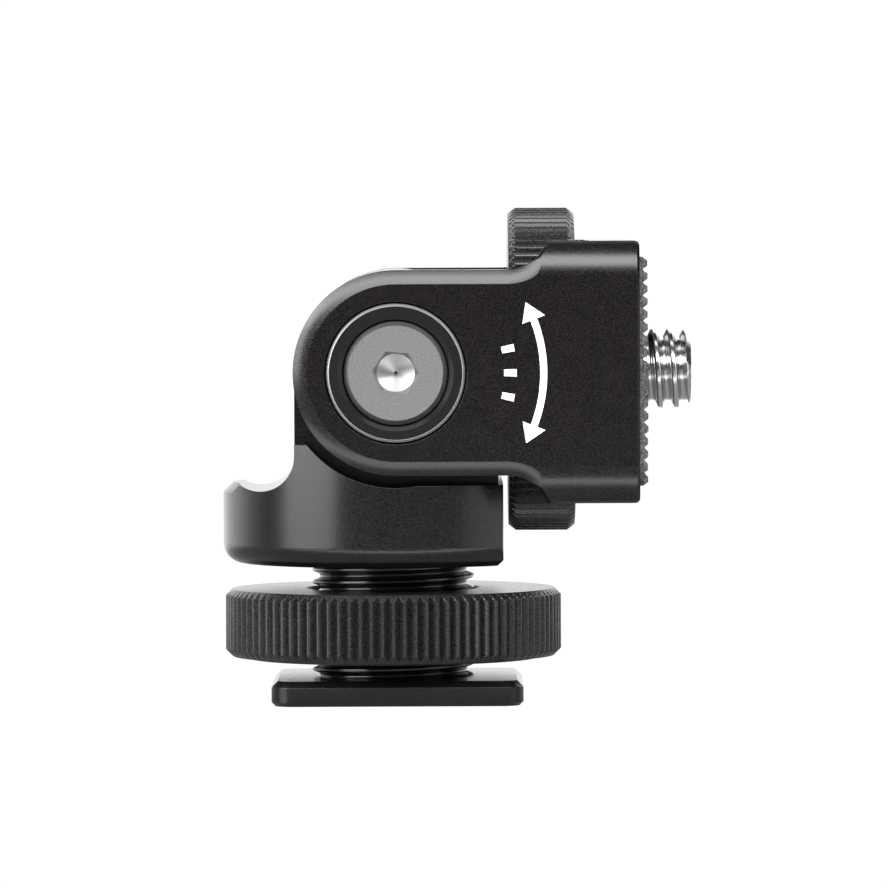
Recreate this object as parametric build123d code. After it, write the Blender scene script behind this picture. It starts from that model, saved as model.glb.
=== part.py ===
from build123d import *
import math
import os

# Tilting shoe bracket with a captive stud, in millimetres.
# The origin is the centre of the shoe foot's bottom face, under the tilt axis.
# +Z is up and +X runs along the arm and the stud. The tilt axis is parallel to Y.

swivel_x = -0.35  # the swivel axis stands a little behind the tilt axis

# Shoe foot and threaded stem
foot_length = 20.0  # along X, the way it slides into a shoe
foot_width = 18.5  # along Y, between the shoe's rails
foot_thickness = 2.0
foot_corner = 1.8
foot_top_edge = 0.5
foot_bottom_edge = 0.3
stem_radius = 6.5  # major radius of the M13 x 1 thread
stem_top = 11.6
spigot_radius = 5.0
spigot_bottom = 0.2
counterbore_radius = 4.5
counterbore_top = 4.6

# Lock knob, which screws down the stem onto the shoe's rails
knob_radius = 13.45
knob_bottom = 3.6
knob_top = 9.0
knob_edge = 0.55
knob_lead_in = 0.5
thread_clearance = 0.05
ring_inner = 7.7
ring_outer = 11.6
ring_bottom = 3.4  # the ring stands proud of the knob
ring_top = 4.4
ring_gap = 0.1

# Swivel base, with its neck and lug
base_radius = 13.6
base_bottom = 11.1
base_top = 17.6
base_lower_round = 1.6
rim_edge = 0.8
rim_edge_end = -12.4  # where the scoop takes over from the rim's chamfer
flat_x = 8.43
flat_corner = 0.4
flat_lower_edge = 0.5
neck_left = -8.05
shoulder_top = 20.8
scoop_radius = 2.85
scoop_x = neck_left - scoop_radius
scoop_z = 19.9
pocket_radius = 9.05
lug_radius = 8.05
lug_half = 9.6
base_recess_radius = 6.8
base_recess_top = 12.1

# Swivel bolt, from below through the stem into the base
bolt_radius = 2.5
bolt_top = 17.0
bolt_head_radius = 4.2
bolt_head_bottom = 0.6
bolt_head_top = 3.6
bolt_key = 3.0  # across the flats
bolt_key_depth = 2.4

# Tilt arm
tilt_height = 26.5
arm_half_width = 14.5
arm_half_height = 8.07
cheek_inner = 10.1
rim_band = 1.12  # width of the arm's shaped edge, seen from the side
rim_radius = 5.0
rim_angle = 12.0  # degrees, where the shaped edge meets the side
rim_overrun = 0.3
shoulder_start = 8.8
shoulder_radius = 3.25
shoulder_corner = 0.3
block_half_height = 10.3
block_end = 19.15
block_corner = 0.4
block_round = 5.0  # rounding of the block's long edges
block_round_depth = 3.0  # height over which that rounding runs
block_edge = 0.2
wheel_slot_start = 8.75
wheel_slot_end = 15.3
wheel_slot_corner = 0.8
wheel_slot_half = 13.3
stud_hole_radius = 3.4

# Pivot through both cheeks and the lug
recess_radius = 5.6
recess_floor = 11.9
cup_radius = 5.45
cup_face = 14.45
cup_bore = 4.2
cup_bevel = 0.35
cup_floor = 0.6
cup_rim_edge = 0.2
head_radius = 4.08
head_face_radius = 3.72
head_face = 14.2
head_under = 13.3
barrel_radius = 3.0
barrel_end = 10.9
running_gap = 0.05
shank_radius = 2.5
shank_end = 4.0
socket_key = 3.0
socket_depth = 1.7
socket_mouth = 0.12
socket_turn = -5.0  # degrees, how the screw was left
bush_outer = 3.9
disc_thickness = 0.3
disc_lift = 0.1
disc_outer = 3.9
friction_inner = 4.2
friction_outer = 7.2

# Captive stud and its thumb wheel
wheel_left = 8.9
wheel_right = 14.2
wheel_radius = 12.92
wheel_edge_length = 0.6
wheel_edge_drop = 0.45
wheel_hub_recess = 1.2
clip_outer = 4.6
clip_thickness = 0.6
thrust_outer = 6.0
thrust_thickness = 0.4
stud_radius = 3.175  # major radius of the 1/4"-20 thread
stud_shank = 2.6
stud_thread_start = 20.1
stud_end = 23.55
stud_tip = 0.45

# Grip pad
pad_thickness = 0.7
pad_height = 18.0
pad_width = 26.0
pad_corner = 1.5
pad_hole_radius = 3.6

bottom_up = (Align.CENTER, Align.CENTER, Align.MIN)


def rod_z(radius, low, high):
    # Rods along Z all lie on the swivel axis
    return Pos(swivel_x, 0, low) * Cylinder(radius, high - low, align=bottom_up)


def rod_y(radius, low, high, x=0.0, z=tilt_height):
    place = Plane(origin=(x, low, z), x_dir=(1, 0, 0), z_dir=(0, 1, 0))
    return place * Cylinder(radius, high - low, align=bottom_up)


def rod_x(radius, low, high):
    place = Plane(origin=(low, 0, tilt_height), x_dir=(0, 1, 0), z_dir=(1, 0, 0))
    return place * Cylinder(radius, high - low, align=bottom_up)


def block(x_span, y_span, z_span):
    size = [span[1] - span[0] for span in (x_span, y_span, z_span)]
    middle = [(span[0] + span[1]) / 2 for span in (x_span, y_span, z_span)]
    return Pos(*middle) * Box(*size)


def spun_z(points):
    # A solid of revolution about the swivel axis, from (radius, z) corners
    outline = Polyline([(radius, 0, height) for radius, height in points], close=True)
    return Pos(swivel_x, 0, 0) * revolve(make_face(outline), axis=Axis.Z)


def spun_y(points, side):
    # The same about the tilt axis, from (radius, distance from the middle) corners
    corners = [(radius, side * depth, tilt_height) for radius, depth in points]
    axis = Axis((0, 0, tilt_height), (0, 1, 0))
    return revolve(make_face(Polyline(corners, close=True)), axis=axis)


def spun_x(points):
    # The same about the stud's axis, from (x, radius) corners
    corners = [(along, 0, tilt_height + radius) for along, radius in points]
    axis = Axis((0, 0, tilt_height), (1, 0, 0))
    return revolve(make_face(Polyline(corners, close=True)), axis=axis)


def hexagon(across_flats):
    return RegularPolygon(across_flats / 2, 6, major_radius=False)


def make_shoe_foot():
    outline = RectangleRounded(foot_length, foot_width, foot_corner)
    plate = extrude(outline, foot_thickness)
    plate = chamfer(plate.faces().sort_by(Axis.Z)[-1].edges(), foot_top_edge)
    plate = chamfer(plate.faces().sort_by(Axis.Z)[0].edges(), foot_bottom_edge)
    return plate - rod_z(spigot_radius, -1, foot_thickness + 1)


def make_threaded_stem():
    stem = rod_z(stem_radius, foot_thickness, stem_top)
    stem = chamfer(stem.faces().sort_by(Axis.Z)[-1].edges(), foot_bottom_edge)
    stem = stem + rod_z(spigot_radius, spigot_bottom, foot_thickness)
    stem = stem - rod_z(counterbore_radius, -1, counterbore_top)
    return stem - rod_z(bolt_radius + running_gap, 0, stem_top + 1)


def make_lock_knob():
    knob = rod_z(knob_radius, knob_bottom, knob_top)
    rims = knob.edges().filter_by(GeomType.CIRCLE)
    knob = chamfer(rims, knob_edge)
    bore = stem_radius + thread_clearance
    wide = bore + knob_lead_in
    knob = knob - spun_z([
        (0, knob_bottom),
        (wide, knob_bottom),
        (bore, knob_bottom + knob_lead_in),
        (bore, knob_top - knob_lead_in),
        (wide, knob_top),
        (0, knob_top),
    ])
    groove = rod_z(ring_outer + ring_gap, knob_bottom, ring_top)
    groove = groove - rod_z(ring_inner - ring_gap, knob_bottom, ring_top)
    return knob - groove


def make_clamp_ring():
    return rod_z(ring_outer, ring_bottom, ring_top) - rod_z(ring_inner, ring_bottom, ring_top)


def make_swivel_base():
    turned = spun_z([
        (0, base_bottom),
        (base_radius, base_bottom),
        (base_radius, shoulder_top),
        (0, shoulder_top),
    ])
    rim_circle = turned.edges().filter_by(GeomType.CIRCLE).sort_by(Axis.Z)[0]
    turned = fillet(rim_circle, base_lower_round)
    reach = base_radius + 1
    sky = tilt_height + reach
    # The milled top: flat to the right of the neck, scooped on its left
    right_cut = block((0, reach), (-reach, reach), (base_top, sky))
    left_cut = block((-reach, neck_left), (-reach, reach), (scoop_z, sky))
    left_cut += block((-reach, scoop_x), (-reach, reach), (base_top, sky))
    left_cut += rod_y(scoop_radius, -reach, reach, scoop_x, scoop_z)
    base = turned - right_cut - left_cut
    # Chamfer of the left rim, which dies out where the scoop starts
    rim = spun_z([
        (base_radius - rim_edge, base_top),
        (base_radius + 1, base_top - rim_edge - 1),
        (base_radius + 1, base_top),
    ])
    wedge = Polyline(
        (-reach, -reach, base_top),
        (rim_edge_end, -reach, base_top),
        (rim_edge_end - 2, -reach, base_top - 2),
        (-reach, -reach, base_top - 2),
        close=True,
    )
    wedge = extrude(make_face(wedge), amount=2 * reach, dir=(0, 1, 0))
    base = base - (rim & wedge)
    # The flat on the right lets the thumb wheel pass
    base = base & make_flat_outline()
    lower_edge = Polyline(
        (flat_x - flat_lower_edge, -reach, base_bottom),
        (flat_x + 1, -reach, base_bottom),
        (flat_x + 1, -reach, base_bottom + flat_lower_edge + 1),
        close=True,
    )
    base -= extrude(make_face(lower_edge), amount=2 * reach, dir=(0, 1, 0))
    # Clearance for the round ends of the cheeks, then the lug between them
    for side in (-1, 1):
        inner = side * lug_half
        outer = side * reach
        base -= rod_y(pocket_radius, min(inner, outer), max(inner, outer))
    base += rod_y(lug_radius, -lug_half, lug_half)
    base += block((-lug_radius, lug_radius), (-lug_half, lug_half), (base_top - 1, tilt_height))
    base -= rod_y(bush_outer, -reach, reach)
    base -= rod_z(base_recess_radius, base_bottom, base_recess_top)
    return base - rod_z(bolt_radius, base_bottom, bolt_top)


def make_flat_outline():
    # Plan outline: a circle cut by the flat, with rounded corners
    half = math.sqrt(base_radius**2 - (flat_x - swivel_x) ** 2)
    flat = Line((flat_x, -half), (flat_x, half))
    back = (swivel_x - base_radius, 0)
    round_side = ThreePointArc((flat_x, half), back, (flat_x, -half))
    plan = make_face([flat, round_side])
    plan = fillet(plan.vertices(), flat_corner)
    tall = extrude(plan, tilt_height + base_radius)
    return Pos(0, 0, base_bottom) * tall


def make_swivel_bolt():
    bolt = rod_z(bolt_head_radius, bolt_head_bottom, bolt_head_top)
    bolt = chamfer(bolt.faces().sort_by(Axis.Z)[0].edges(), foot_bottom_edge)
    bolt += rod_z(bolt_radius, bolt_head_top, bolt_top)
    key = extrude(hexagon(bolt_key), bolt_key_depth)
    return bolt - Pos(swivel_x, 0, bolt_head_bottom) * key


def disc_spring(low, height):
    # A dished ring between low and low + height, closed round the bolt
    bore = bolt_radius + 0.1
    return spun_z([
        (bore, low + height - disc_thickness),
        (disc_outer, low),
        (disc_outer, low + disc_thickness),
        (bore, low + height),
    ])


def make_swivel_springs():
    step = (counterbore_top - bolt_head_top) / 2
    lower = disc_spring(bolt_head_top, step)
    upper = disc_spring(bolt_head_top + step, step)
    return Compound(children=[lower, upper])


def make_swivel_washer():
    ring = rod_z(stem_radius - foot_bottom_edge, stem_top, base_recess_top)
    return ring - rod_z(bolt_radius + 0.1, stem_top, base_recess_top)


def rim_lines():
    # The arm's rounded outline from upper to lower shoulder, in X and height above the axis
    w = shoulder_radius - (block_half_height - arm_half_height)
    top_x = shoulder_start + math.sqrt(shoulder_radius**2 - w**2)
    bend = math.radians(35)
    bend_x = shoulder_start + shoulder_radius * math.sin(bend)
    bend_z = arm_half_height + shoulder_radius * (1 - math.cos(bend))
    high = block_half_height
    low = arm_half_height
    return [
        ThreePointArc((top_x, high), (bend_x, bend_z), (shoulder_start, low)),
        Line((shoulder_start, low), (0, low)),
        ThreePointArc((0, low), (-low, 0), (0, -low)),
        Line((0, -low), (shoulder_start, -low)),
        ThreePointArc((shoulder_start, -low), (bend_x, -bend_z), (top_x, -high)),
    ]


def arm_outline():
    # Side view of the arm, closed round the block
    rim = rim_lines()
    top = rim[0] @ 0
    bottom = rim[-1] @ 1
    lines = [
        Line(bottom, (block_end, -block_half_height)),
        Line((block_end, -block_half_height), (block_end, block_half_height)),
        Line((block_end, block_half_height), top),
    ]
    return make_face(rim + lines)


def rim_cutter():
    # Follows the outline on the front side, and leaves an edge that meets the face crisply
    rim = rim_lines()
    first = rim[0] @ 0
    ahead = rim[0] % 0
    last = rim[-1] @ 1
    behind = rim[-1] % 1
    lead_in = Line(first - ahead, first)
    lead_out = Line(last, last + behind)
    side = Plane(origin=(0, -arm_half_width, tilt_height), x_dir=(1, 0, 0), z_dir=(0, -1, 0))
    path = side * Wire([line.edge() for line in [lead_in, *rim, lead_out]])
    start = math.radians(rim_angle)
    reach = rim_band + rim_overrun
    finish = math.asin(math.sin(start) + reach / rim_radius)
    middle = (start + finish) / 2
    points = []
    for angle in (start, middle, finish):
        across = rim_radius * (math.sin(angle) - math.sin(start)) - rim_band
        points.append((across, rim_radius * (math.cos(start) - math.cos(angle))))
    outline = [
        ThreePointArc(*points),
        Polyline(points[2], (rim_overrun, -1), (-rim_band, -1), points[0]),
    ]
    travel = path % 0
    outward = Vector(travel.Z, 0, -travel.X)
    section = Plane(origin=path @ 0, x_dir=outward, z_dir=travel)
    return sweep(section * make_face(outline), path=path)


def end_outline():
    # End view of the block, in Y and height, with its long edges rounded
    inset = block_round - math.sqrt(block_round**2 - block_round_depth**2)
    start = block_half_height - block_round_depth
    half = block_round_depth / 2
    mid_inset = block_round - math.sqrt(block_round**2 - half**2)
    w = arm_half_width
    h = block_half_height
    lines = [
        Line((-w + inset, h), (w - inset, h)),
        ThreePointArc((w - inset, h), (w - mid_inset, start + half), (w, start)),
        Line((w, start), (w, -start)),
        ThreePointArc((w, -start), (w - mid_inset, -start - half), (w - inset, -h)),
        Line((w - inset, -h), (-w + inset, -h)),
        ThreePointArc((-w + inset, -h), (-w + mid_inset, -start - half), (-w, -start)),
        Line((-w, -start), (-w, start)),
        ThreePointArc((-w, start), (-w + mid_inset, start + half), (-w + inset, h)),
    ]
    return make_face(lines)


def make_arm_blank():
    side = Plane(origin=(0, arm_half_width, tilt_height), x_dir=(1, 0, 0), z_dir=(0, -1, 0))
    bar = extrude(side * arm_outline(), amount=2 * arm_half_width)
    cutter = rim_cutter()
    bar = bar - cutter - mirror(cutter, about=Plane.XZ)
    end = Plane(origin=(-20, 0, tilt_height), x_dir=(0, 1, 0), z_dir=(1, 0, 0))
    bar = bar & extrude(end * end_outline(), amount=60)
    corners = bar.edges().filter_by(Axis.Y).filter_by(
        lambda e: shoulder_start + 1 < e.center().X < block_end - 1
    )
    bar = fillet(corners, shoulder_corner)
    ends = bar.edges().filter_by(Axis.Y).filter_by(lambda e: e.center().X > block_end - 0.01)
    bar = fillet(ends, block_corner)
    return chamfer(bar.faces().sort_by(Axis.X)[-1].edges(), block_edge)


def make_tilt_arm():
    arm = make_arm_blank()
    reach = arm_half_width + 1
    tall = (tilt_height - reach, tilt_height + reach)
    arm -= block((-reach, wheel_slot_start), (-cheek_inner, cheek_inner), tall)
    slot = block((wheel_slot_start, wheel_slot_end), (-wheel_slot_half, wheel_slot_half), tall)
    arm -= fillet(slot.edges().filter_by(Axis.Z).group_by(Axis.X)[-1], wheel_slot_corner)
    arm -= rod_x(stud_hole_radius, wheel_slot_end - 1, block_end + 1)
    arm -= rod_y(barrel_radius + running_gap, -reach, reach)
    arm -= rod_y(recess_radius, -reach, -recess_floor)
    return arm - rod_y(recess_radius, recess_floor, reach)


def make_cup_washer(side):
    return spun_y([
        (barrel_radius + running_gap, recess_floor),
        (cup_radius, recess_floor),
        (cup_radius, cup_face - cup_rim_edge),
        (cup_radius - cup_rim_edge, cup_face),
        (cup_bore + cup_bevel, cup_face),
        (cup_bore, cup_face - cup_bevel),
        (cup_bore, recess_floor + cup_floor),
        (barrel_radius + running_gap, recess_floor + cup_floor),
    ], side)


def pivot_head(side):
    bevel = head_radius - head_face_radius
    head = spun_y([
        (0, head_under),
        (head_radius, head_under),
        (head_radius, head_face - bevel),
        (head_face_radius, head_face),
        (0, head_face),
    ], side)
    return head


def key_socket(side):
    # Hexagonal pit with a bevelled mouth and a drilled, conical floor
    turn = math.radians(socket_turn)
    face = Plane(
        origin=(0, side * head_face, tilt_height),
        x_dir=(math.cos(turn), 0, math.sin(turn)),
        z_dir=(0, -side, 0),
    )
    pit = extrude(face * hexagon(socket_key), amount=socket_depth)
    mouth = face * hexagon(socket_key + 2 * socket_mouth)
    floor = face.offset(socket_mouth) * hexagon(socket_key)
    pit += loft([mouth, floor])
    cone_radius = socket_key / 2
    cone = Cone(cone_radius, 0, cone_radius / 2, align=bottom_up)
    return pit + face.offset(socket_depth) * cone


def make_pivot_bolt():
    bolt = pivot_head(-1) + rod_y(shank_radius, -head_under, shank_end)
    return bolt - key_socket(-1)


def make_pivot_nut():
    nut = pivot_head(1) + rod_y(barrel_radius, -barrel_end, head_under)
    nut -= key_socket(1)
    return nut - rod_y(shank_radius + running_gap, -barrel_end - 1, shank_end + 1)


def make_pivot_bush():
    inner = barrel_radius + running_gap
    return rod_y(bush_outer, -lug_half, lug_half) - rod_y(inner, -lug_half, lug_half)


def pivot_disc(side, depth, dish):
    # A dished ring under a pivot head, dish saying which way it opens
    bore = barrel_radius + running_gap
    inner = depth + (disc_lift if dish > 0 else 0)
    outer = depth + (0 if dish > 0 else disc_lift)
    return spun_y([
        (bore, inner),
        (disc_outer, outer),
        (disc_outer, outer + disc_thickness),
        (bore, inner + disc_thickness),
    ], side)


def make_pivot_springs():
    floor = recess_floor + cup_floor
    step = disc_thickness + disc_lift
    rings = []
    for side in (-1, 1):
        rings.append(pivot_disc(side, floor, 1))
        rings.append(pivot_disc(side, floor + step, -1))
    return Compound(children=rings)


def make_friction_washer(side):
    return spun_y([
        (friction_inner, lug_half),
        (friction_outer, lug_half),
        (friction_outer, cheek_inner),
        (friction_inner, cheek_inner),
    ], side)


def make_thumb_wheel():
    rim = wheel_radius - wheel_edge_drop
    return spun_x([
        (wheel_left, clip_outer + 0.3),
        (wheel_left, rim),
        (wheel_left + wheel_edge_length, wheel_radius),
        (wheel_right - wheel_edge_length, wheel_radius),
        (wheel_right, rim),
        (wheel_right, stud_shank),
        (wheel_left + wheel_hub_recess, stud_shank),
        (wheel_left + wheel_hub_recess, clip_outer + 0.3),
    ])


def make_mounting_stud():
    groove = wheel_left + wheel_hub_recess - clip_thickness
    return spun_x([
        (wheel_left + 0.2, 0),
        (wheel_left + 0.2, stud_shank),
        (groove, stud_shank),
        (groove, stud_shank - 0.5),
        (groove + clip_thickness, stud_shank - 0.5),
        (groove + clip_thickness, stud_shank),
        (stud_thread_start - 0.3, stud_shank),
        (stud_thread_start, stud_radius),
        (stud_end - stud_tip, stud_radius),
        (stud_end, stud_radius - stud_tip),
        (stud_end, 0),
    ])


def make_stud_clip():
    end = wheel_left + wheel_hub_recess
    start = end - clip_thickness
    return rod_x(clip_outer, start, end) - rod_x(stud_shank - 0.5, start, end)


def make_thrust_washer():
    end = wheel_right + thrust_thickness
    return rod_x(thrust_outer, wheel_right, end) - rod_x(stud_shank + 0.1, wheel_right, end)


def make_grip_pad():
    face = Plane(origin=(block_end, 0, tilt_height), x_dir=(0, 1, 0), z_dir=(1, 0, 0))
    outline = RectangleRounded(pad_width, pad_height, pad_corner)
    pad = extrude(face * outline, amount=pad_thickness)
    return pad - rod_x(pad_hole_radius, block_end, block_end + pad_thickness)


pieces = {
    "shoe_foot": make_shoe_foot(),
    "threaded_stem": make_threaded_stem(),
    "lock_knob": make_lock_knob(),
    "clamp_ring": make_clamp_ring(),
    "swivel_base": make_swivel_base(),
    "swivel_bolt": make_swivel_bolt(),
    "swivel_springs": make_swivel_springs(),
    "swivel_washer": make_swivel_washer(),
    "tilt_arm": make_tilt_arm(),
    "front_cup_washer": make_cup_washer(-1),
    "rear_cup_washer": make_cup_washer(1),
    "pivot_bolt": make_pivot_bolt(),
    "pivot_nut": make_pivot_nut(),
    "pivot_bush": make_pivot_bush(),
    "pivot_springs": make_pivot_springs(),
    "front_friction_washer": make_friction_washer(-1),
    "rear_friction_washer": make_friction_washer(1),
    "thumb_wheel": make_thumb_wheel(),
    "mounting_stud": make_mounting_stud(),
    "stud_clip": make_stud_clip(),
    "thrust_washer": make_thrust_washer(),
    "grip_pad": make_grip_pad(),
}

os.makedirs("parts", exist_ok=True)
for name, shape in pieces.items():
    export_step(shape, f"parts/{name}.step")
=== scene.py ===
import math

import bmesh
import bpy
from mathutils import Matrix, Vector


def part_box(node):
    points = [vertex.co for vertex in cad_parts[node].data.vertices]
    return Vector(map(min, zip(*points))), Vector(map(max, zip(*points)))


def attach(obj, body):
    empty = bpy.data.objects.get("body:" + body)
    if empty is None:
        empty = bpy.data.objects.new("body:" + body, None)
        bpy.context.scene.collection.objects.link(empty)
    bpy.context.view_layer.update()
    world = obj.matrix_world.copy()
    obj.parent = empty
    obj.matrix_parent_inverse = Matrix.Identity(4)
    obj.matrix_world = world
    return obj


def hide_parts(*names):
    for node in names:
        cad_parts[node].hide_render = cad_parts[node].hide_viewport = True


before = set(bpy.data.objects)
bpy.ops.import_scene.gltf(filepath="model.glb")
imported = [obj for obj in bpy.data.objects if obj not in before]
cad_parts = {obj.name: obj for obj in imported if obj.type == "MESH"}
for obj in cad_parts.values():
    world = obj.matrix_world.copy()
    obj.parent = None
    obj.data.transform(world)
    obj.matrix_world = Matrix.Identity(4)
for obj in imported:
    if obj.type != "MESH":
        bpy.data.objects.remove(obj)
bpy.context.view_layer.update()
mm = 0.001
armLow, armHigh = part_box("tilt_arm")
tiltHeight = (armLow.z + armHigh.z) / 2
studAxis = Matrix.Translation((0, 0, tiltHeight)) @ Matrix.Rotation(math.pi / 2, 4, "Y")
knobLow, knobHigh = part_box("lock_knob")
wheelLow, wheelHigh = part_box("thumb_wheel")
studLow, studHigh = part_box("mounting_stud")
stemLow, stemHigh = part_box("threaded_stem")
padLow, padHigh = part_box("grip_pad")
swivelAxis = Matrix.Translation(((knobLow.x + knobHigh.x) / 2, 0, 0))
print("frame loaded, tilt axis at", round(tiltHeight / mm, 2), "mm")


def addNode(tree, kind, inputs=None, **settings):
    made = tree.nodes.new(kind)
    for key, value in settings.items():
        setattr(made, key, value)
    for key, value in (inputs or {}).items():
        if isinstance(value, bpy.types.NodeSocket):
            tree.links.new(value, made.inputs[key])
        else:
            made.inputs[key].default_value = value
    return made


def calc(tree, operation, *values, clamp=False):
    made = addNode(tree, "ShaderNodeMath", dict(enumerate(values)), operation=operation)
    made.use_clamp = clamp
    return made.outputs[0]


def span(tree, value, low, high, newLow=0.0, newHigh=1.0, kind="SMOOTHSTEP"):
    inputs = {"Value": value, "From Min": low, "From Max": high, "To Min": newLow, "To Max": newHigh}
    return addNode(tree, "ShaderNodeMapRange", inputs, interpolation_type=kind).outputs["Result"]


def startMaterial(name):
    material = bpy.data.materials.new(name)
    material.use_nodes = True
    tree = material.node_tree
    shader = tree.nodes["Principled BSDF"]
    place = addNode(tree, "ShaderNodeTexCoord").outputs["Object"]
    return material, tree, shader, place


def noise(tree, place, size, detail=2.0, roughness=0.5):
    # size is the width of the texture's grains in metres
    inputs = {"Vector": place, "Scale": 1 / size, "Detail": detail, "Roughness": roughness}
    return addNode(tree, "ShaderNodeTexNoise", inputs).outputs["Fac"]


def blendColour(tree, factor, first, second):
    made = addNode(tree, "ShaderNodeMix", data_type="RGBA")
    for index, value in ((0, factor), (6, first), (7, second)):
        if isinstance(value, bpy.types.NodeSocket):
            tree.links.new(value, made.inputs[index])
        else:
            made.inputs[index].default_value = value if index == 0 else (*value, 1)
    return made.outputs[2]


def bump(tree, height, depth, softEdge=0.0):
    # softEdge is how far sharp edges look worn, in metres
    inputs = {"Height": height, "Distance": depth}
    if softEdge:
        inputs["Normal"] = addNode(tree, "ShaderNodeBevel", {"Radius": softEdge}, samples=6).outputs[0]
    return addNode(tree, "ShaderNodeBump", inputs).outputs["Normal"]


speckle = {
    # How much of the shade comes from the wide clouds, and the noise levels that make dark and light
    "cloudShare": 0.08, "octaves": 3.0, "gain": 0.6, "darkBelow": 0.36, "lightAbove": 0.64,
    "smoothBelow": 0.3, "roughAbove": 0.7,
}


def grainyMaterial(name, look):
    # A finish with fine grain in its colour, roughness and bump
    material, tree, shader, place = startMaterial(name)
    grain = noise(tree, place, look["grain"], speckle["octaves"], speckle["gain"])
    cloud = noise(tree, place, look["cloud"])
    fine = calc(tree, "MULTIPLY", grain, 1 - speckle["cloudShare"])
    mixed = calc(tree, "MULTIPLY_ADD", cloud, speckle["cloudShare"], fine)
    shade = span(tree, mixed, speckle["darkBelow"], speckle["lightAbove"])
    tree.links.new(blendColour(tree, shade, look["dark"], look["light"]), shader.inputs["Base Color"])
    rough = span(tree, mixed, speckle["smoothBelow"], speckle["roughAbove"], *look["roughness"])
    tree.links.new(rough, shader.inputs["Roughness"])
    tree.links.new(bump(tree, grain, look["relief"], look.get("softEdge", 0.0)), shader.inputs["Normal"])
    shader.inputs["Metallic"].default_value = look.get("metallic", 0.0)
    shader.inputs["Specular IOR Level"].default_value = look.get("specular", 0.5)
    return material, tree, shader, place


finishes = {
    "blastedBlack": {
        "dark": (0.0008, 0.0006, 0.0007), "light": (0.0125, 0.0100, 0.0114),
        "roughness": (0.19, 0.25), "grain": 0.11 * mm, "cloud": 1.6 * mm, "relief": 0.0050 * mm,
        "softEdge": 0.06 * mm,
    },
    "knurledBlack": {
        "dark": (0.0008, 0.0008, 0.0008), "light": (0.026, 0.024, 0.025),
        "roughness": (0.20, 0.34), "grain": 0.08 * mm, "cloud": 0.5 * mm, "relief": 0.006 * mm,
        "softEdge": 0.02 * mm,
    },
    "threadBlack": {
        "dark": (0.004, 0.004, 0.004), "light": (0.010, 0.010, 0.010),
        "roughness": (0.16, 0.24), "grain": 0.2 * mm, "cloud": 2.0 * mm, "relief": 0.001 * mm,
        "specular": 0.6,
    },
    "padRubber": {
        "dark": (0.022, 0.022, 0.022), "light": (0.20, 0.20, 0.20),
        "roughness": (0.6, 0.85), "grain": 0.16 * mm, "cloud": 1.2 * mm, "relief": 0.03 * mm,
        "specular": 0.4,
    },
    "blackNylon": {
        "dark": (0.010, 0.010, 0.010), "light": (0.02, 0.02, 0.02),
        "roughness": (0.45, 0.6), "grain": 0.15 * mm, "cloud": 2.0 * mm, "relief": 0.003 * mm,
    },
    "springSteel": {
        "dark": (0.34, 0.34, 0.35), "light": (0.5, 0.5, 0.5), "metallic": 1.0,
        "roughness": (0.28, 0.4), "grain": 0.1 * mm, "cloud": 1.0 * mm, "relief": 0.002 * mm,
    },
    "sinteredBronze": {
        "dark": (0.34, 0.2, 0.08), "light": (0.5, 0.32, 0.15), "metallic": 1.0,
        "roughness": (0.35, 0.5), "grain": 0.1 * mm, "cloud": 1.0 * mm, "relief": 0.003 * mm,
    },
}
materials = {name: grainyMaterial(name, look)[0] for name, look in finishes.items()}


def fromPivot(tree, place):
    # Distance from the tilt axis, and from the middle plane, in millimetres
    centred = addNode(tree, "ShaderNodeMapping", {"Vector": place})
    centred.inputs["Location"].default_value = (0, 0, -tiltHeight / mm)
    centred.inputs["Scale"].default_value = (1 / mm, 1 / mm, 1 / mm)
    parts = addNode(tree, "ShaderNodeSeparateXYZ", {"Vector": centred.outputs[0]}).outputs
    squares = [calc(tree, "MULTIPLY", parts[i], parts[i]) for i in (0, 2)]
    radius = calc(tree, "SQRT", calc(tree, "ADD", *squares))
    return radius, calc(tree, "ABSOLUTE", parts[1])


cupLook = {
    "rimInner": 5.22, "rimFade": 0.03, "black": (0.007, 0.007, 0.007), "bright": (0.85, 0.85, 0.86),
    "blackRoughness": 0.26, "brightRoughness": 0.45, "grain": 0.12 * mm, "relief": 0.003 * mm,
}


def cupWasherMaterial():
    # Blackened steel with a bright turned edge at its rim
    material, tree, shader, place = startMaterial("cupBlack")
    radius = fromPivot(tree, place)[0]
    rim = span(tree, radius, cupLook["rimInner"], cupLook["rimInner"] + cupLook["rimFade"])
    colour = blendColour(tree, rim, cupLook["black"], cupLook["bright"])
    tree.links.new(colour, shader.inputs["Base Color"])
    tree.links.new(rim, shader.inputs["Metallic"])
    rough = span(tree, rim, 0, 1, cupLook["blackRoughness"], cupLook["brightRoughness"])
    tree.links.new(rough, shader.inputs["Roughness"])
    grain = noise(tree, place, cupLook["grain"])
    tree.links.new(bump(tree, grain, cupLook["relief"]), shader.inputs["Normal"])
    return material


# The mark colour and its radius paint a near-black dot of shade at the bottom of the socket
screwLook = {
    "face": (0.34, 0.34, 0.34), "faceDark": (0.18, 0.18, 0.18), "socket": (0.40, 0.40, 0.41),
    "socketRadius": 1.95, "faceDepth": 14.19, "blend": 0.02, "pitShadeRadius": 0.09, "pitShadeBlend": 0.03,
    "mark": (0.01, 0.01, 0.01), "faceRoughness": 0.46, "socketRoughness": 0.36,
    "grain": 0.1 * mm, "relief": 0.003 * mm,
}


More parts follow.
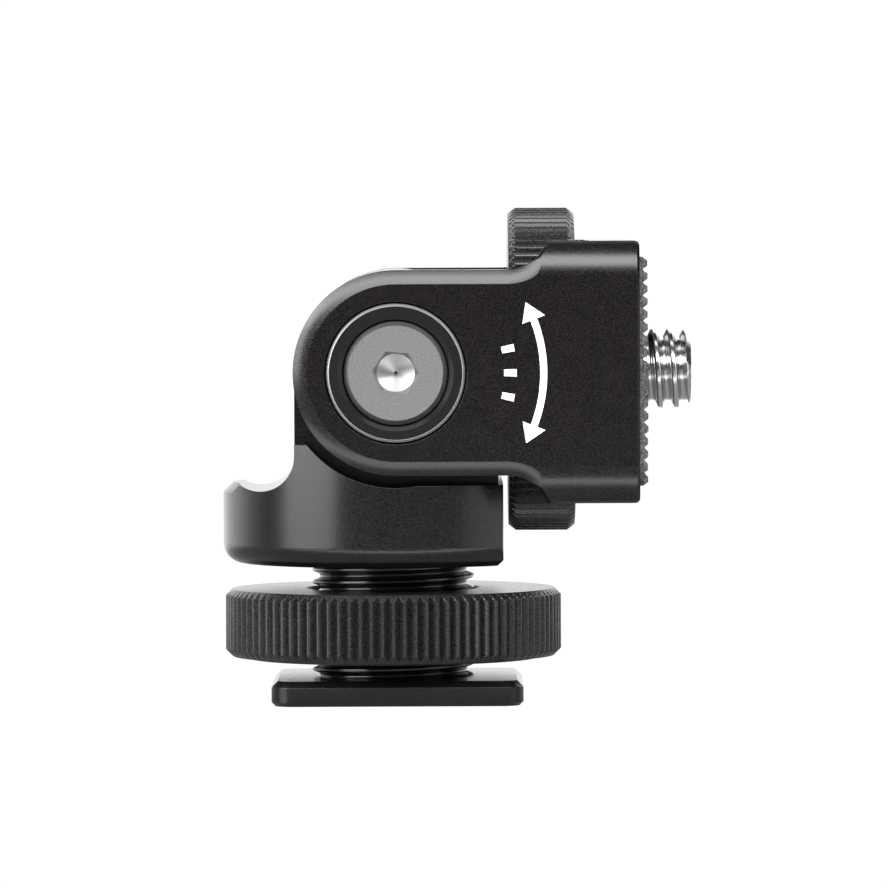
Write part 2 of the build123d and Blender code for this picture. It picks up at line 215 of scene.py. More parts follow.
def screwMaterial():
    # Matt turned face, bright socket, and a near-black dot of painted shade at the socket's deepest point
    s = screwLook
    material, tree, shader, place = startMaterial("screwSteel")
    radius, depth = fromPivot(tree, place)
    inside = span(tree, radius, s["socketRadius"], s["socketRadius"] - s["blend"])
    below = span(tree, depth, s["faceDepth"], s["faceDepth"] - s["blend"])
    socket = calc(tree, "MULTIPLY", inside, below)
    grain = noise(tree, place, s["grain"], 3.0, 0.7)
    face = blendColour(tree, span(tree, grain, 0.3, 0.7), s["faceDark"], s["face"])
    colour = blendColour(tree, socket, face, s["socket"])
    # Painted shade: a near-black dot where the socket's floor comes to its point
    mark = span(tree, radius, s["pitShadeRadius"] + s["pitShadeBlend"], s["pitShadeRadius"])
    colour = blendColour(tree, mark, colour, s["mark"])
    tree.links.new(colour, shader.inputs["Base Color"])
    shader.inputs["Metallic"].default_value = 1.0
    rough = span(tree, socket, 0, 1, s["faceRoughness"], s["socketRoughness"])
    tree.links.new(rough, shader.inputs["Roughness"])
    tree.links.new(bump(tree, grain, s["relief"]), shader.inputs["Normal"])
    return material


studLook = {
    "dark": (0.56, 0.56, 0.57), "light": (0.74, 0.74, 0.75), "roughness": (0.18, 0.26), "smear": 0.5 * mm,
}


def studMaterial():
    # Polished steel whose gloss varies a little
    material, tree, shader, place = startMaterial("studSteel")
    smear = noise(tree, place, studLook["smear"])
    colour = blendColour(tree, smear, studLook["dark"], studLook["light"])
    tree.links.new(colour, shader.inputs["Base Color"])
    shader.inputs["Metallic"].default_value = 1.0
    tree.links.new(span(tree, smear, 0.3, 0.7, *studLook["roughness"]), shader.inputs["Roughness"])
    return material


printLook = {
    "dark": (0.86, 0.86, 0.86), "light": (0.95, 0.95, 0.95), "roughness": 0.6, "fleck": 0.1 * mm,
}


def printMaterial():
    material, tree, shader, place = startMaterial("whitePrint")
    fleck = noise(tree, place, printLook["fleck"])
    colour = blendColour(tree, fleck, printLook["dark"], printLook["light"])
    tree.links.new(colour, shader.inputs["Base Color"])
    shader.inputs["Roughness"].default_value = printLook["roughness"]
    return material


materials["cupBlack"] = cupWasherMaterial()
materials["screwSteel"] = screwMaterial()
materials["studSteel"] = studMaterial()
materials["whitePrint"] = printMaterial()

nodeFinish = {
    "shoe_foot": "blastedBlack", "swivel_base": "blastedBlack", "tilt_arm": "blastedBlack",
    "front_cup_washer": "cupBlack", "rear_cup_washer": "cupBlack",
    "pivot_bolt": "screwSteel", "pivot_nut": "screwSteel",
    "clamp_ring": "blackNylon", "swivel_washer": "blackNylon", "thrust_washer": "blackNylon",
    "front_friction_washer": "blackNylon", "rear_friction_washer": "blackNylon",
    "swivel_bolt": "threadBlack", "threaded_stem": "threadBlack",
    "swivel_springs": "springSteel", "pivot_springs": "springSteel", "stud_clip": "springSteel",
    "pivot_bush": "sinteredBronze", "lock_knob": "knurledBlack", "thumb_wheel": "knurledBlack",
    "mounting_stud": "studSteel", "grip_pad": "padRubber",
}
for node, finish in nodeFinish.items():
    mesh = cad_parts[node].data
    mesh.materials.clear()
    mesh.materials.append(materials[finish])
print("materials made:", len(materials))


def startTree(name, sizes):
    # sizes maps an input's name to its kind; the section or an empty mesh comes in as Geometry
    tree = bpy.data.node_groups.new(name, "GeometryNodeTree")
    tree.interface.new_socket("Geometry", in_out="OUTPUT", socket_type="NodeSocketGeometry")
    tree.interface.new_socket("Geometry", in_out="INPUT", socket_type="NodeSocketGeometry")
    for label, kind in sizes.items():
        tree.interface.new_socket(label, in_out="INPUT", socket_type="NodeSocket" + kind)
    tree.interface.new_socket("Material", in_out="INPUT", socket_type="NodeSocketMaterial")
    return tree, tree.nodes.new("NodeGroupInput").outputs


def endTree(tree, geometry, material):
    real = addNode(tree, "GeometryNodeRealizeInstances", {"Geometry": geometry}).outputs[0]
    painted = addNode(tree, "GeometryNodeSetMaterial", {"Geometry": real, "Material": material})
    out = tree.nodes.new("NodeGroupOutput")
    tree.links.new(painted.outputs[0], out.inputs["Geometry"])


def gridCoordinates(tree):
    # Both directions of a unit grid, from 0 to 1
    place = addNode(tree, "GeometryNodeInputPosition").outputs[0]
    parts = addNode(tree, "ShaderNodeSeparateXYZ", {"Vector": place}).outputs
    return calc(tree, "ADD", parts[0], 0.5), calc(tree, "ADD", parts[1], 0.5)


weldGap = 0.0004 * mm


def wrapRound(tree, columns, rows, radius, turn, height):
    # Places a unit grid round the Z axis and closes it
    grid = addNode(tree, "GeometryNodeMeshGrid", {
        "Size X": 1.0, "Size Y": 1.0, "Vertices X": columns, "Vertices Y": rows,
    }).outputs["Mesh"]
    angle = calc(tree, "MULTIPLY", turn, 2 * math.pi)
    across = calc(tree, "MULTIPLY", radius, calc(tree, "COSINE", angle))
    along = calc(tree, "MULTIPLY", radius, calc(tree, "SINE", angle))
    place = addNode(tree, "ShaderNodeCombineXYZ", {0: across, 1: along, 2: height}).outputs[0]
    moved = addNode(tree, "GeometryNodeSetPosition", {"Geometry": grid, "Position": place})
    joined = {"Geometry": moved.outputs[0], "Distance": weldGap}
    return addNode(tree, "GeometryNodeMergeByDistance", joined).outputs[0]


def spunTree():
    # Spins the drawn section round Z, and cuts V grooves into whatever reaches the rim
    tree, given = startTree("spunSection", {
        "Steps": "Int", "Columns": "Int", "Ridges": "Int",
        "Rim": "Float", "Depth": "Float", "Land": "Float",
    })
    count = addNode(tree, "GeometryNodeAttributeDomainSize", {"Geometry": given["Geometry"]})
    corners = count.outputs["Point Count"]
    turn, along = gridCoordinates(tree)
    step = calc(tree, "MULTIPLY", along, corners)
    whole = calc(tree, "FLOOR", step)
    place = addNode(tree, "GeometryNodeInputPosition").outputs[0]

    def cornerAt(index):
        wrapped = calc(tree, "MODULO", index, corners)
        inputs = {"Geometry": given["Geometry"], "Value": place, "Index": wrapped}
        found = addNode(tree, "GeometryNodeSampleIndex", inputs, data_type="FLOAT_VECTOR")
        return found.outputs[0]

    here, after = cornerAt(whole), cornerAt(calc(tree, "ADD", whole, 1))
    gap = addNode(tree, "ShaderNodeVectorMath", {0: after, 1: here}, operation="SUBTRACT").outputs[0]
    share = calc(tree, "SUBTRACT", step, whole)
    part = addNode(tree, "ShaderNodeVectorMath", {0: gap, "Scale": share}, operation="SCALE").outputs[0]
    point = addNode(tree, "ShaderNodeVectorMath", {0: here, 1: part}, operation="ADD").outputs[0]
    parts = addNode(tree, "ShaderNodeSeparateXYZ", {"Vector": point}).outputs
    phase = calc(tree, "FRACT", calc(tree, "MULTIPLY", turn, given["Ridges"]))
    half = calc(tree, "MULTIPLY", calc(tree, "SUBTRACT", 1, given["Land"]), 0.5)
    offset = calc(tree, "ABSOLUTE", calc(tree, "SUBTRACT", phase, calc(tree, "SUBTRACT", 1, half)))
    groove = calc(tree, "SUBTRACT", 1, calc(tree, "DIVIDE", offset, half), clamp=True)
    limit = calc(tree, "SUBTRACT", given["Rim"], calc(tree, "MULTIPLY", groove, given["Depth"]))
    radius = calc(tree, "MINIMUM", parts[0], limit)
    columns = calc(tree, "ADD", given["Columns"], 1)
    rows = calc(tree, "MULTIPLY_ADD", corners, given["Steps"], 1)
    endTree(tree, wrapRound(tree, columns, rows, radius, turn, parts[2]), given["Material"])
    return tree


def threadTree():
    # A right-hand thread whose rows follow the helix, closed by its bore
    tree, given = startTree("cutThread", {
        "Low": "Float", "High": "Float", "Major": "Float", "Minor": "Float", "Bore": "Float",
        "Pitch": "Float", "Tip": "Float", "Crest": "Float", "Root": "Float",
        "Around": "Int", "Per Turn": "Int",
    })
    turn, along = gridCoordinates(tree)
    length = calc(tree, "SUBTRACT", given["High"], given["Low"])
    turns = calc(tree, "ADD", calc(tree, "CEIL", calc(tree, "DIVIDE", length, given["Pitch"])), 2)
    rows = calc(tree, "MULTIPLY", turns, given["Per Turn"])
    row = calc(tree, "MULTIPLY", along, calc(tree, "ADD", rows, 3))
    wound = calc(tree, "DIVIDE", row, given["Per Turn"])
    helix = calc(tree, "ADD", wound, calc(tree, "SUBTRACT", turn, 1.5))
    free = calc(tree, "MULTIPLY_ADD", helix, given["Pitch"], given["Low"])
    height = calc(tree, "MAXIMUM", calc(tree, "MINIMUM", free, given["High"]), given["Low"])
    rise = calc(tree, "DIVIDE", calc(tree, "SUBTRACT", height, given["Low"]), given["Pitch"])
    phase = calc(tree, "FRACT", calc(tree, "ADD", calc(tree, "SUBTRACT", rise, turn), 10))
    tooth = calc(tree, "ABSOLUTE", calc(tree, "MULTIPLY_ADD", phase, 2, -1))
    crest = calc(tree, "SUBTRACT", 1, given["Crest"])
    form = addNode(tree, "ShaderNodeMapRange", {
        "Value": tooth, "From Min": given["Root"], "From Max": crest,
        "To Min": given["Minor"], "To Max": given["Major"],
    }, interpolation_type="SMOOTHSTEP").outputs["Result"]
    left = calc(tree, "SUBTRACT", given["High"], height)
    tip = calc(tree, "ADD", calc(tree, "SUBTRACT", given["Major"], given["Tip"]), left)
    cut = calc(tree, "MINIMUM", form, tip)
    isFirst = calc(tree, "LESS_THAN", row, 0.5)
    isLast = calc(tree, "GREATER_THAN", row, calc(tree, "ADD", rows, 1.5))
    isBack = calc(tree, "GREATER_THAN", row, calc(tree, "ADD", rows, 2.5))
    inner = calc(tree, "MAXIMUM", isFirst, isLast)
    keep = calc(tree, "MULTIPLY", cut, calc(tree, "SUBTRACT", 1, inner))
    radius = calc(tree, "MULTIPLY_ADD", given["Bore"], inner, keep)
    upper = calc(tree, "MULTIPLY", height, calc(tree, "SUBTRACT", 1, isBack))
    level = calc(tree, "MULTIPLY_ADD", given["Low"], isBack, upper)
    columns = calc(tree, "ADD", given["Around"], 1)
    closed = wrapRound(tree, columns, calc(tree, "ADD", rows, 4), radius, turn, level)
    endTree(tree, closed, given["Material"])
    return tree


bumpShape = {
    # Sizes as shares of the pitch, except the sink into the plate, which is in millimetres
    "holeMargin": 0.55, "cornerMargin": 0.45, "foot": 0.70, "tip": 0.30, "sink": 0.01,
    "smallest": (0.92, 0.92, 0.86), "largest": (1.0, 1.0, 1.0),
}


def padTree():
    # A pierced plate with rows of small blunt pyramids
    tree, given = startTree("padBumps", {
        "Width": "Float", "Height": "Float", "Corner": "Float", "Hole": "Float",
        "Backing": "Float", "Bump": "Float", "Pitch": "Float", "Seed": "Int",
    })
    outline = addNode(tree, "GeometryNodeCurvePrimitiveQuadrilateral", {
        "Width": given["Width"], "Height": given["Height"],
    }).outputs[0]
    rounded = addNode(tree, "GeometryNodeFilletCurve", {
        "Curve": outline, "Radius": given["Corner"], "Count": 8,
    }, mode="POLY").outputs[0]
    circle = addNode(tree, "GeometryNodeCurvePrimitiveCircle", {
        "Resolution": 64, "Radius": given["Hole"],
    }).outputs[0]
    join = addNode(tree, "GeometryNodeJoinGeometry")
    tree.links.new(rounded, join.inputs[0])
    tree.links.new(circle, join.inputs[0])
    face = addNode(tree, "GeometryNodeFillCurve", {"Curve": join.outputs[0]}).outputs[0]
    thick = addNode(tree, "GeometryNodeExtrudeMesh", {
        "Mesh": face, "Offset": (0.0, 0.0, 1.0), "Offset Scale": given["Backing"], "Individual": False,
    }, mode="FACES").outputs[0]
    under = addNode(tree, "GeometryNodeFlipFaces", {"Mesh": face}).outputs[0]
    shell = addNode(tree, "GeometryNodeJoinGeometry")
    tree.links.new(thick, shell.inputs[0])
    tree.links.new(under, shell.inputs[0])
    plate = addNode(tree, "GeometryNodeMergeByDistance", {
        "Geometry": shell.outputs[0], "Distance": 0.001 * mm,
    }).outputs[0]
    room = [calc(tree, "SUBTRACT", given[side], given["Pitch"]) for side in ("Width", "Height")]
    lines = [
        calc(tree, "ADD", calc(tree, "ROUND", calc(tree, "DIVIDE", size, given["Pitch"])), 1)
        for size in room
    ]
    grid = addNode(tree, "GeometryNodeMeshGrid", {
        "Size X": room[0], "Size Y": room[1], "Vertices X": lines[0], "Vertices Y": lines[1],
    }).outputs["Mesh"]
    place = addNode(tree, "GeometryNodeInputPosition").outputs[0]
    far = addNode(tree, "ShaderNodeVectorMath", {0: place}, operation="LENGTH").outputs["Value"]
    clear = calc(tree, "MULTIPLY_ADD", given["Pitch"], bumpShape["holeMargin"], given["Hole"])
    nearHole = calc(tree, "LESS_THAN", far, clear)
    parts = addNode(tree, "ShaderNodeSeparateXYZ", {"Vector": place}).outputs
    # How far a point lies past the straight part of each side, where the corners are round
    squares = []
    for part, side in ((parts[0], "Width"), (parts[1], "Height")):
        straight = calc(tree, "SUBTRACT", calc(tree, "MULTIPLY", given[side], 0.5), given["Corner"])
        past = calc(tree, "SUBTRACT", calc(tree, "ABSOLUTE", part), straight)
        over = calc(tree, "MAXIMUM", 0, past)
        squares.append(calc(tree, "MULTIPLY", over, over))
    spread = calc(tree, "SQRT", calc(tree, "ADD", *squares))
    limit = calc(tree, "MULTIPLY_ADD", given["Pitch"], -bumpShape["cornerMargin"], given["Corner"])
    drop = calc(tree, "MAXIMUM", nearHole, calc(tree, "GREATER_THAN", spread, limit))
    points = addNode(tree, "GeometryNodeDeleteGeometry", {"Geometry": grid, "Selection": drop}).outputs[0]
    foot = calc(tree, "MULTIPLY", given["Pitch"], bumpShape["foot"])
    tip = calc(tree, "MULTIPLY", given["Pitch"], bumpShape["tip"])
    cone = addNode(tree, "GeometryNodeMeshCone", {
        "Vertices": 4, "Side Segments": 3, "Radius Bottom": foot, "Radius Top": tip,
        "Depth": given["Bump"],
    }).outputs[0]
    wobble = addNode(tree, "FunctionNodeRandomValue", {"Seed": given["Seed"]}, data_type="FLOAT_VECTOR")
    wobble.inputs[0].default_value = bumpShape["smallest"]
    wobble.inputs[1].default_value = bumpShape["largest"]
    bumps = addNode(tree, "GeometryNodeInstanceOnPoints", {
        "Points": points, "Instance": cone, "Rotation": (0.0, 0.0, math.pi / 4),
        "Scale": wobble.outputs[0],
    }).outputs[0]
    rise = calc(tree, "SUBTRACT", given["Backing"], bumpShape["sink"] * mm)
    up = addNode(tree, "ShaderNodeCombineXYZ", {2: rise}).outputs[0]
    lifted = addNode(tree, "GeometryNodeTransform", {"Geometry": bumps, "Translation": up}).outputs[0]
    whole = addNode(tree, "GeometryNodeJoinGeometry")
    tree.links.new(plate, whole.inputs[0])
    tree.links.new(lifted, whole.inputs[0])
    endTree(tree, whole.outputs[0], given["Material"])
    return tree


trees = {"spun": spunTree(), "thread": threadTree(), "pad": padTree()}
print("geometry node trees made:", len(trees))


def outlineMesh(name, corners):
    # A closed line through (radius, height) corners, in millimetres
    mesh = bpy.data.meshes.new(name)
    count = len(corners)
    mesh.from_pydata(
        [(radius * mm, 0, height * mm) for radius, height in corners],
        [(i, (i + 1) % count) for i in range(count)], [],
    )
    return mesh


def runTree(name, mesh, tree, sizes, material, placement=None):
    # Runs a tree on a mesh and keeps the result as a plain mesh, in place
    holder = bpy.data.objects.new(name + "Source", mesh)
    bpy.context.scene.collection.objects.link(holder)
    modifier = holder.modifiers.new(name, "NODES")
    modifier.node_group = tree
    sockets = {item.name: item for item in tree.interface.items_tree if item.in_out == "INPUT"}
    for label, value in sizes.items():
        modifier[sockets[label].identifier] = value
    modifier[sockets["Material"].identifier] = material
    depsgraph = bpy.context.evaluated_depsgraph_get()
    made = bpy.data.meshes.new_from_object(holder.evaluated_get(depsgraph))
    bpy.data.objects.remove(holder)
    made.name = name
    if placement is not None:
        made.transform(placement)
    return made


def finishPiece(name, mesh, body, nodes=(), smoothAngle=None):
    # Turns the faces outward, then hangs the piece on its body in place of the nodes
    tidy = bmesh.new()
    tidy.from_mesh(mesh)
    bmesh.ops.recalc_face_normals(tidy, faces=tidy.faces)
    tidy.to_mesh(mesh)
    tidy.free()
    if smoothAngle is not None:
        for face in mesh.polygons:
            face.use_smooth = True
        mesh.set_sharp_from_angle(angle=math.radians(smoothAngle))
    piece = bpy.data.objects.new(name, mesh)
    bpy.context.scene.collection.objects.link(piece)
    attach(piece, body)
    if nodes:
        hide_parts(*nodes)
    print(name, "faces", len(mesh.polygons))
    return piece


knob = {
    "radius": (knobHigh.x - knobLow.x) / 2 / mm, "low": knobLow.z / mm,
    "high": knobHigh.z / mm, "edge": 0.55, "bore": 6.55, "leadIn": 0.5,
    "ringInner": 7.6, "ringOuter": 11.7, "ringTop": 4.4,
    "ridges": 96, "perRidge": 8, "depth": 0.50, "land": 0.22, "steps": 5,
}


def knurlSizes(piece):
    return {
        "Steps": piece["steps"], "Columns": piece["ridges"] * piece["perRidge"],
        "Ridges": piece["ridges"], "Rim": piece["radius"] * mm, "Depth": piece["depth"] * mm,
        "Land": piece["land"],
    }


def plainSizes(columns):
    # A spun section with no grooves: its rim is set outside everything
    return {"Steps": 1, "Columns": columns, "Ridges": 1, "Rim": 10 * mm, "Depth": 0.0, "Land": 0.5}


def makeKnob():
    k = knob
    section = [
        (k["bore"], k["low"] + k["leadIn"]), (k["bore"] + k["leadIn"], k["low"]),
        (k["ringInner"], k["low"]), (k["ringInner"], k["ringTop"]),
        (k["ringOuter"], k["ringTop"]), (k["ringOuter"], k["low"]),
        (k["radius"] - k["edge"], k["low"]), (k["radius"], k["low"] + k["edge"]),
        (k["radius"], k["high"] - k["edge"]), (k["radius"] - k["edge"], k["high"]),
        (k["bore"] + k["leadIn"], k["high"]), (k["bore"], k["high"] - k["leadIn"]),
    ]
    mesh = runTree("lockKnobKnurled", outlineMesh("knobSection", section), trees["spun"],
                   knurlSizes(k), materials["knurledBlack"], swivelAxis)
    return finishPiece("lockKnobKnurled", mesh, "knob", ["lock_knob"])


sideGap = 0.01  # keeps the wheel's sides off its washer and the block
wheel = {
    "radius": (wheelHigh.z - wheelLow.z) / 2 / mm, "left": wheelLow.x / mm + sideGap,
    "right": wheelHigh.x / mm - sideGap, "edgeLength": 0.6, "edgeDrop": 0.45,
    "bore": 2.65, "clipRadius": 4.9, "clipDepth": 1.2,
    "ridges": 90, "perRidge": 8, "depth": 0.46, "land": 0.20, "steps": 4,
}


def makeWheel():
    w = wheel
    section = [
        (w["clipRadius"], w["left"]), (w["radius"] - w["edgeDrop"], w["left"]),
        (w["radius"], w["left"] + w["edgeLength"]), (w["radius"], w["right"] - w["edgeLength"]),
        (w["radius"] - w["edgeDrop"], w["right"]), (w["bore"], w["right"]),
        (w["bore"], w["left"] + w["clipDepth"]), (w["clipRadius"], w["left"] + w["clipDepth"]),
    ]
    mesh = runTree("thumbWheelKnurled", outlineMesh("wheelSection", section), trees["spun"],
                   knurlSizes(w), materials["knurledBlack"], studAxis)
    return finishPiece("thumbWheelKnurled", mesh, "wheel", ["thumb_wheel"])


threadStart = 0.77  # from the block's end face, just past the pad
stud = {
    "low": padLow.x / mm + threadStart, "high": studHigh.x / mm,
    "major": studHigh.z / mm - tiltHeight / mm, "minor": 2.55, "pitch": 1.27, "tip": 0.45,
    "crest": 0.20, "root": 0.20, "around": 96, "perTurn": 16,
    "core": 0.0001, "shank": 2.55, "shankSides": 64, "back": studLow.x / mm, "overlap": 0.1,
}


def threadSizes(part, bore):
    return {
        "Low": part["low"] * mm, "High": part["high"] * mm, "Major": part["major"] * mm,
        "Minor": part["minor"] * mm, "Bore": bore * mm, "Pitch": part["pitch"] * mm,
        "Tip": part["tip"] * mm, "Crest": part["crest"], "Root": part["root"],
        "Around": part["around"], "Per Turn": part["perTurn"],
    }


def makeStud():
    s = stud
    thread = runTree("studThread", bpy.data.meshes.new("studSeed"), trees["thread"],
                     threadSizes(s, 0.0), materials["studSteel"], studAxis)
    front = s["low"] + s["overlap"]
    section = [(s["core"], s["back"]), (s["shank"], s["back"]), (s["shank"], front), (s["core"], front)]
    shank = runTree("studShank", outlineMesh("shankSection", section), trees["spun"],
                    plainSizes(s["shankSides"]), materials["studSteel"], studAxis)
    finishPiece("studShank", shank, "wheel", smoothAngle=40)
    return finishPiece("studThread", thread, "wheel", ["mounting_stud"], 50)


stem = {
    "low": 2.0, "high": stemHigh.z / mm, "major": (stemHigh.x - stemLow.x) / 2 / mm,
    "minor": 5.90, "pitch": 1.0, "tip": 0.3,
    "crest": 0.12, "root": 0.20, "around": 128, "perTurn": 12,
    "sleeve": 5.6, "spigot": 5.0, "spigotLow": 0.2, "counterbore": 4.5, "counterTop": 4.6,
    "bore": 2.55, "core": 5.75, "coreSides": 96,
}


def makeStem():
    s = stem
    thread = runTree("stemThread", bpy.data.meshes.new("stemSeed"), trees["thread"],
                     threadSizes(s, s["sleeve"]), materials["threadBlack"], swivelAxis)
    section = [
        (s["counterbore"], s["spigotLow"]), (s["spigot"], s["spigotLow"]), (s["spigot"], s["low"]),
        (s["core"], s["low"]), (s["core"], s["high"]), (s["bore"], s["high"]),
        (s["bore"], s["counterTop"]), (s["counterbore"], s["counterTop"]),
    ]
    core = runTree("stemCore", outlineMesh("coreSection", section), trees["spun"],
                   plainSizes(s["coreSides"]), materials["threadBlack"], swivelAxis)
    finishPiece("stemCore", core, "foot", smoothAngle=40)
    return finishPiece("stemThread", thread, "foot", ["threaded_stem"], 50)


pad = {
    "width": (padHigh.y - padLow.y) / mm, "height": (padHigh.z - padLow.z) / mm, "corner": 1.5,
    "hole": 3.6, "face": padLow.x / mm, "backing": 0.30, "bump": 0.40, "pitch": 1.0, "seed": 7,
}


def makePad():
    p = pad
    sizes = {
        "Width": p["width"] * mm, "Height": p["height"] * mm, "Corner": p["corner"] * mm,
        "Hole": p["hole"] * mm, "Backing": p["backing"] * mm, "Bump": p["bump"] * mm,
        "Pitch": p["pitch"] * mm, "Seed": p["seed"],
    }
    # The pad is laid out flat, then stood against the block's end face
    upright = Matrix(((0, 0, 1, p["face"] * mm), (1, 0, 0, 0), (0, 1, 0, tiltHeight), (0, 0, 0, 1)))
    mesh = runTree("gripPadPyramids", bpy.data.meshes.new("padSeed"), trees["pad"], sizes,
                   materials["padRubber"], upright)
    return finishPiece("gripPadPyramids", mesh, "arm", ["grip_pad"])


mark = {
    "radius": 11.6, "halfAngle": 21.0, "line": 0.55, "headLength": 1.5, "headWidth": 1.9,
    "tickRadius": 9.0, "tickLength": 1.0, "tickAngles": (-12.0, 0.0, 12.0),
    "faceY": -armLow.y / mm, "lift": 0.012, "thickness": 0.02, "segments": 40,
}


def flatShape(shape, corners):
    # A polygon in the arm's side view, in (X, height from the axis)
    near = -(mark["faceY"] + mark["lift"]) * mm
    far = near + mark["thickness"] * mm
    front = [shape.verts.new((x * mm, near, tiltHeight + z * mm)) for x, z in corners]
    back = [shape.verts.new((x * mm, far, tiltHeight + z * mm)) for x, z in corners]
    shape.faces.new(front)
    shape.faces.new(list(reversed(back)))
    count = len(corners)
    for i in range(count):
        shape.faces.new((front[i], back[i], back[(i + 1) % count], front[(i + 1) % count]))


def onArc(radius, degrees):
    return radius * math.cos(math.radians(degrees)), radius * math.sin(math.radians(degrees))


def makeTiltMark():
    # A two-headed arrow round the tilt axis, with three index ticks
    m = mark
    shape = bmesh.new()
    outer, inner = m["radius"] + m["line"] / 2, m["radius"] - m["line"] / 2
    stepAngle = 2 * m["halfAngle"] / m["segments"]
    for i in range(m["segments"]):
        a, b = -m["halfAngle"] + i * stepAngle, -m["halfAngle"] + (i + 1) * stepAngle
        flatShape(shape, [onArc(inner, a), onArc(outer, a), onArc(outer, b), onArc(inner, b)])
    for side in (-1, 1):
        end = side * m["halfAngle"]
        tip = end + side * math.degrees(m["headLength"] / m["radius"])
        low, high = m["radius"] - m["headWidth"] / 2, m["radius"] + m["headWidth"] / 2
        head = [onArc(low, end), onArc(high, end), onArc(m["radius"], tip)]
        flatShape(shape, head if side > 0 else head[::-1])
    for angle in m["tickAngles"]:
        spread = math.degrees(m["line"] / 2 / m["tickRadius"])
        low, high = m["tickRadius"] - m["tickLength"] / 2, m["tickRadius"] + m["tickLength"] / 2
        flatShape(shape, [onArc(low, angle - spread), onArc(high, angle - spread),
                          onArc(high, angle + spread), onArc(low, angle + spread)])
    bmesh.ops.remove_doubles(shape, verts=shape.verts, dist=0.0001 * mm)
    mesh = bpy.data.meshes.new("tiltMark")
    shape.to_mesh(mesh)
    shape.free()
    mesh.materials.append(materials["whitePrint"])
    return finishPiece("tiltMark", mesh, "arm")


makeKnob()
makeWheel()
makeStud()
makeStem()
makePad()
makeTiltMark()
print("pieces made")

sweep = {
    "front": -0.45, "back": 1.0, "half": 1.5, "top": 1.3, "bend": 0.4, "steps": 12,
    "seen": 1.05, "glow": 0.40, "cardGlow": 4.2, "cardFrom": -0.050, "cardTo": -0.041,
    "blend": 0.003, "wallGlow": 1.6, "wallFrom": 0.02, "wallTo": 0.12,
}


def makeSweep():
    # A white floor that curves up into a back wall, with a brighter strip before the object.
    # It is seen as plain white, and its own brightness shows only in the object's reflections.
    w = sweep
    line = [(w["front"], 0.0), (w["back"] - w["bend"], 0.0)]
    for i in range(1, w["steps"] + 1):
        angle = math.pi / 2 * i / w["steps"]
        y = w["back"] - w["bend"] + w["bend"] * math.sin(angle)
        line.append((y, w["bend"] * (1 - math.cos(angle))))
    line.append((w["back"], w["top"]))
    mesh = bpy.data.meshes.new("floorSweep")
    points = [(side * w["half"], y, z) for y, z in line for side in (-1, 1)]
    faces = [(2 * i, 2 * i + 1, 2 * i + 3, 2 * i + 2) for i in range(len(line) - 1)]
    mesh.from_pydata(points, [], faces)
    for face in mesh.polygons:
        face.use_smooth = True
    floor = bpy.data.objects.new("floorSweep", mesh)
    bpy.context.scene.collection.objects.link(floor)
    material, tree, shader, place = startMaterial("paleFloor")
    shader.inputs["Base Color"].default_value = (0, 0, 0, 1)
    shader.inputs["Specular IOR Level"].default_value = 0.0
    shader.inputs["Emission Color"].default_value = (1, 1, 1, 1)
    along = addNode(tree, "ShaderNodeSeparateXYZ", {"Vector": place}).outputs[1]
    entered = span(tree, along, w["cardFrom"] - w["blend"], w["cardFrom"])
    ended = span(tree, along, w["cardTo"], w["cardTo"] + w["blend"])
    card = calc(tree, "MULTIPLY", calc(tree, "SUBTRACT", entered, ended), w["cardGlow"] - w["glow"])
    lit = calc(tree, "ADD", card, span(tree, along, w["wallFrom"], w["wallTo"], w["glow"], w["wallGlow"]))
    direct = addNode(tree, "ShaderNodeLightPath").outputs["Is Camera Ray"]
    glow = addNode(tree, "ShaderNodeMix", {0: direct, 2: lit, 3: w["seen"]}).outputs[0]
    tree.links.new(glow, shader.inputs["Emission Strength"])
    mesh.materials.append(material)


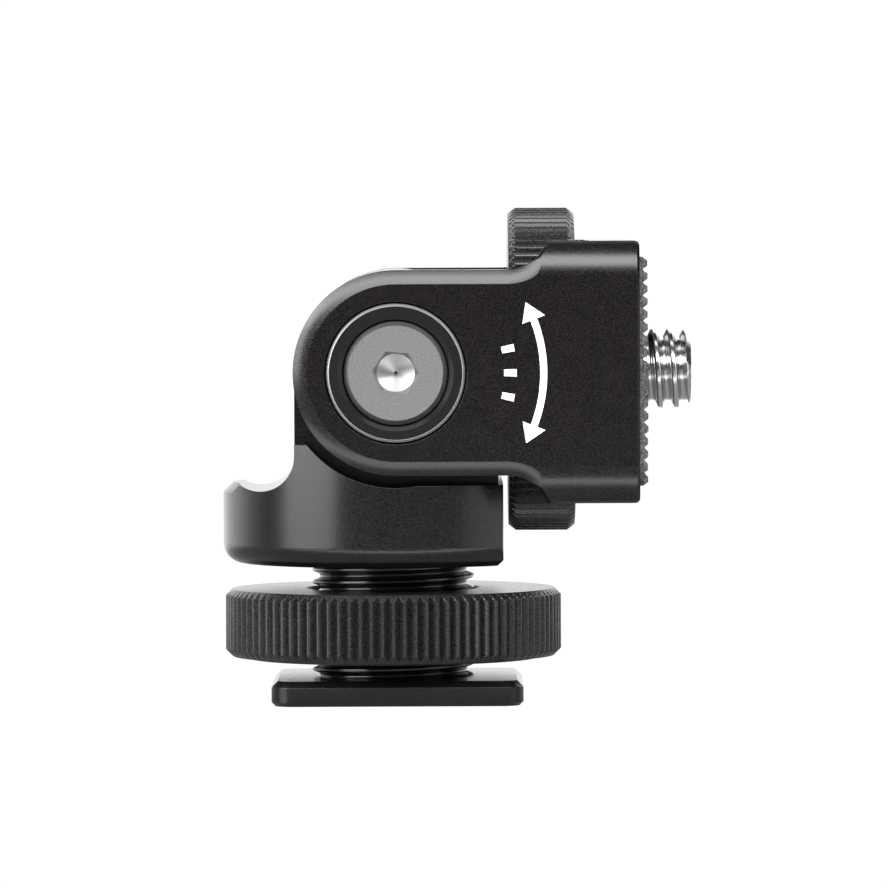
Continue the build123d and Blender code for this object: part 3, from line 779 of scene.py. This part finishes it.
lights = {
    # Azimuth 0 is the front, and positive azimuths are to its right, in degrees; sizes in metres
    "keyLeft": {
        "azimuth": -58, "elevation": 5, "distance": 0.5, "width": 0.34, "height": 0.5, "radiance": 7.5,
    },
    "topFront": {
        "azimuth": 0, "elevation": 34, "distance": 0.6, "width": 1.2, "height": 0.20, "radiance": 10.0,
    },
    "overhead": {
        "azimuth": 0, "elevation": 80, "distance": 0.6, "width": 0.8, "height": 0.14, "radiance": 2.0,
    },
    "fillRight": {
        "azimuth": 66, "elevation": 6, "distance": 0.6, "width": 0.35, "height": 0.5, "radiance": 1.4,
    },
}
aim = Vector((4 * mm, 0, 20 * mm))


def makeLight(name, azimuth, elevation, distance, width, height, radiance):
    a, e = math.radians(azimuth), math.radians(elevation)
    away = Vector((math.sin(a) * math.cos(e), -math.cos(a) * math.cos(e), math.sin(e)))
    data = bpy.data.lights.new(name, "AREA")
    data.shape = "RECTANGLE"
    data.size, data.size_y = width, height
    data.energy = radiance * math.pi * width * height
    lamp = bpy.data.objects.new(name, data)
    lamp.location = aim + away * distance
    lamp.rotation_euler = (-away).to_track_quat("-Z", "Y").to_euler()
    bpy.context.scene.collection.objects.link(lamp)


worldLook = {"strength": 0.03}


def makeWorld():
    world = bpy.data.worlds.new("studio")
    bpy.context.scene.world = world
    world.use_nodes = True
    world.node_tree.nodes["Background"].inputs["Color"].default_value = (1, 1, 1, 1)
    world.node_tree.nodes["Background"].inputs["Strength"].default_value = worldLook["strength"]


camera = {
    # Aim and distance in millimetres, angles in degrees
    "aim": (3.77, 0, 20.5), "distance": 600.0, "elevation": 1.75, "azimuth": 0.0, "roll": 0.25,
    "lens": 303.2,
}


def makeCamera():
    c = camera
    a, e = math.radians(c["azimuth"]), math.radians(c["elevation"])
    back = Vector((math.sin(a) * math.cos(e), -math.cos(a) * math.cos(e), math.sin(e)))
    data = bpy.data.cameras.new("camera")
    data.sensor_width = 36
    data.lens = c["lens"]
    data.clip_start, data.clip_end = 0.01, 20
    cam = bpy.data.objects.new("camera", data)
    cam.location = Vector(c["aim"]) * mm + back * c["distance"] * mm
    turn = (-back).to_track_quat("-Z", "Y").to_matrix().to_4x4()
    cam.rotation_euler = (turn @ Matrix.Rotation(-math.radians(c["roll"]), 4, "Z")).to_euler()
    bpy.context.scene.collection.objects.link(cam)
    bpy.context.scene.camera = cam


makeSweep()
for name, values in lights.items():
    makeLight(name, **values)
makeWorld()
makeCamera()
bpy.context.scene.view_settings.view_transform = "Standard"
print("stage, lights and camera made")
